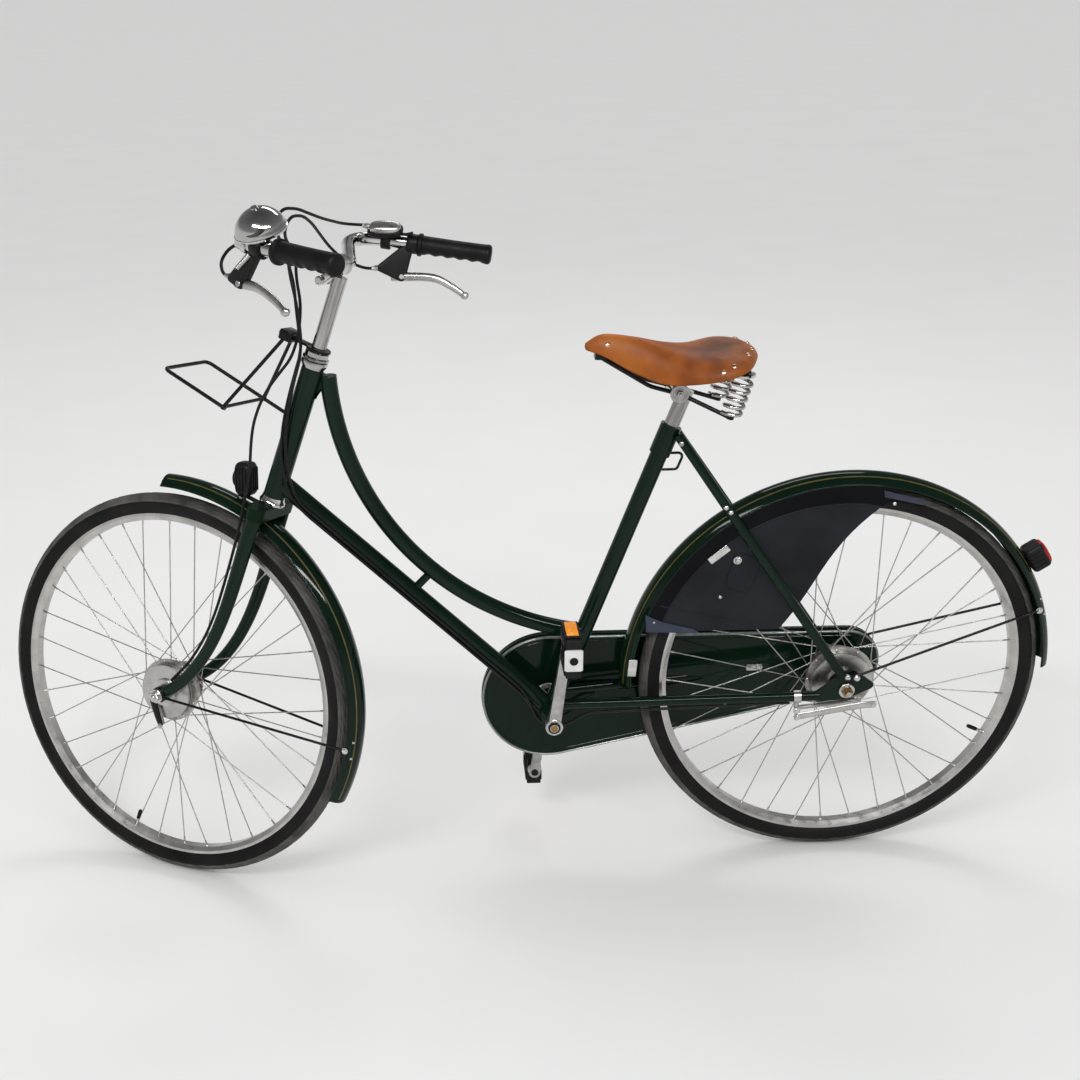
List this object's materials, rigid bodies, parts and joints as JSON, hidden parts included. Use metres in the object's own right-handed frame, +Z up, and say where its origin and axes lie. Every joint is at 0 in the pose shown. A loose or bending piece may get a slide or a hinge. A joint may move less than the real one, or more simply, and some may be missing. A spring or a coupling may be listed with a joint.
{
  "type": "city bicycle",
  "caption": "Step-through city bicycle with a loop frame, full chain case, mudguards, coat guards, sprung leather saddle, swept-back bar and a front wire carrier.",
  "frame": {"origin": "the rider's seat point on top of the saddle", "axes": "+X forward, +Y to the rider's left, +Z up"},
  "size_m": [1.8485, 0.5337, 1.1936],
  "materials": {
    "green_paint": "gloss, very dark green",
    "chrome": "bright chrome",
    "bright_metal": "satin silver",
    "tyre_rubber": "matt black, worn grey tread",
    "black_rubber": "matt black",
    "tan_leather": "worn tan hide",
    "black_steel": "black enamel",
    "black_plastic": "dark matt plastic"
  },
  "bodies": {
    "frame": {"head_tube": "green_paint", "headset_cups": "chrome", "bottom_bracket": "green_paint", "seat_tube": "green_paint", "down_tube": "green_paint", "loop_tube": "green_paint", "tube_bridge": "green_paint", "seat_lug": "green_paint", "chain_stays": "green_paint", "seat_stays": "green_paint", "dropouts": "green_paint", "saddle_leather": "tan_leather", "saddle_rails": "black_steel", "saddle_cantle": "black_steel", "saddle_springs": "chrome", "seat_post": "chrome", "saddle_clamp": "chrome", "chain_case": "green_paint", "rear_mudguard": "green_paint", "rear_mudguard_stays": "black_steel", "coat_guards": "black_plastic", "rear_lamp": "black_plastic", "rear_axle": "bright_metal", "rear_brake_plate": "bright_metal", "frame_cables": "black_plastic"},
    "steering": {"fork_crown": "green_paint", "fork_blades": "green_paint", "fork_ends": "green_paint", "front_axle": "bright_metal", "front_brake_plate": "bright_metal", "front_mudguard": "green_paint", "front_mudguard_stays": "black_steel", "headset_nut": "chrome", "stem": "chrome", "handlebar": "chrome", "grips": "black_rubber", "brake_brackets": "black_plastic", "brake_levers": "bright_metal", "bell": "chrome", "gear_shifter": "bright_metal", "front_lamp": "black_plastic", "front_carrier": "black_steel", "steering_cables": "black_plastic"},
    "front_wheel": {"front_tyre": "tyre_rubber", "front_rim": "bright_metal", "front_spokes": "bright_metal", "front_hub": "bright_metal"},
    "rear_wheel": {"rear_tyre": "tyre_rubber", "rear_rim": "bright_metal", "rear_spokes": "bright_metal", "rear_hub": "bright_metal"},
    "cranks": {"crank_spindle": "bright_metal", "crank_left": "bright_metal", "crank_right": "bright_metal"},
    "left_pedal": {"pedal_left": "bright_metal", "pedal_rubbers_left": "black_rubber"},
    "right_pedal": {"pedal_right": "bright_metal", "pedal_rubbers_right": "black_rubber"}
  },
  "joints": [
    {"name": "steering_turn", "type": "hinge", "parent": "frame", "child": "steering", "pos_m": [0.63931, 0, -0.13118], "axis": [-0.342, 0, 0.9397], "range_deg": [-32.6, 87.4]},
    {"name": "front_wheel_spin", "type": "hinge", "parent": "steering", "child": "front_wheel", "pos_m": [0.88095, -0.03406, -0.60299], "axis": [0.4324, 0.8878, 0.1574], "continuous": true},
    {"name": "rear_wheel_spin", "type": "hinge", "parent": "frame", "child": "rear_wheel", "pos_m": [-0.28525, 0, -0.60015], "axis": [0, 1, 0], "continuous": true},
    {"name": "crank_spin", "type": "hinge", "parent": "frame", "child": "cranks", "pos_m": [0.21775, 0, -0.65115], "axis": [0, 1, 0], "continuous": true},
    {"name": "left_pedal_spin", "type": "hinge", "parent": "cranks", "child": "left_pedal", "pos_m": [0.1953, 0.1215, -0.48062], "axis": [0, 1, 0], "continuous": true},
    {"name": "right_pedal_spin", "type": "hinge", "parent": "cranks", "child": "right_pedal", "pos_m": [0.2402, -0.1215, -0.82168], "axis": [0, 1, 0], "continuous": true}
  ]
}
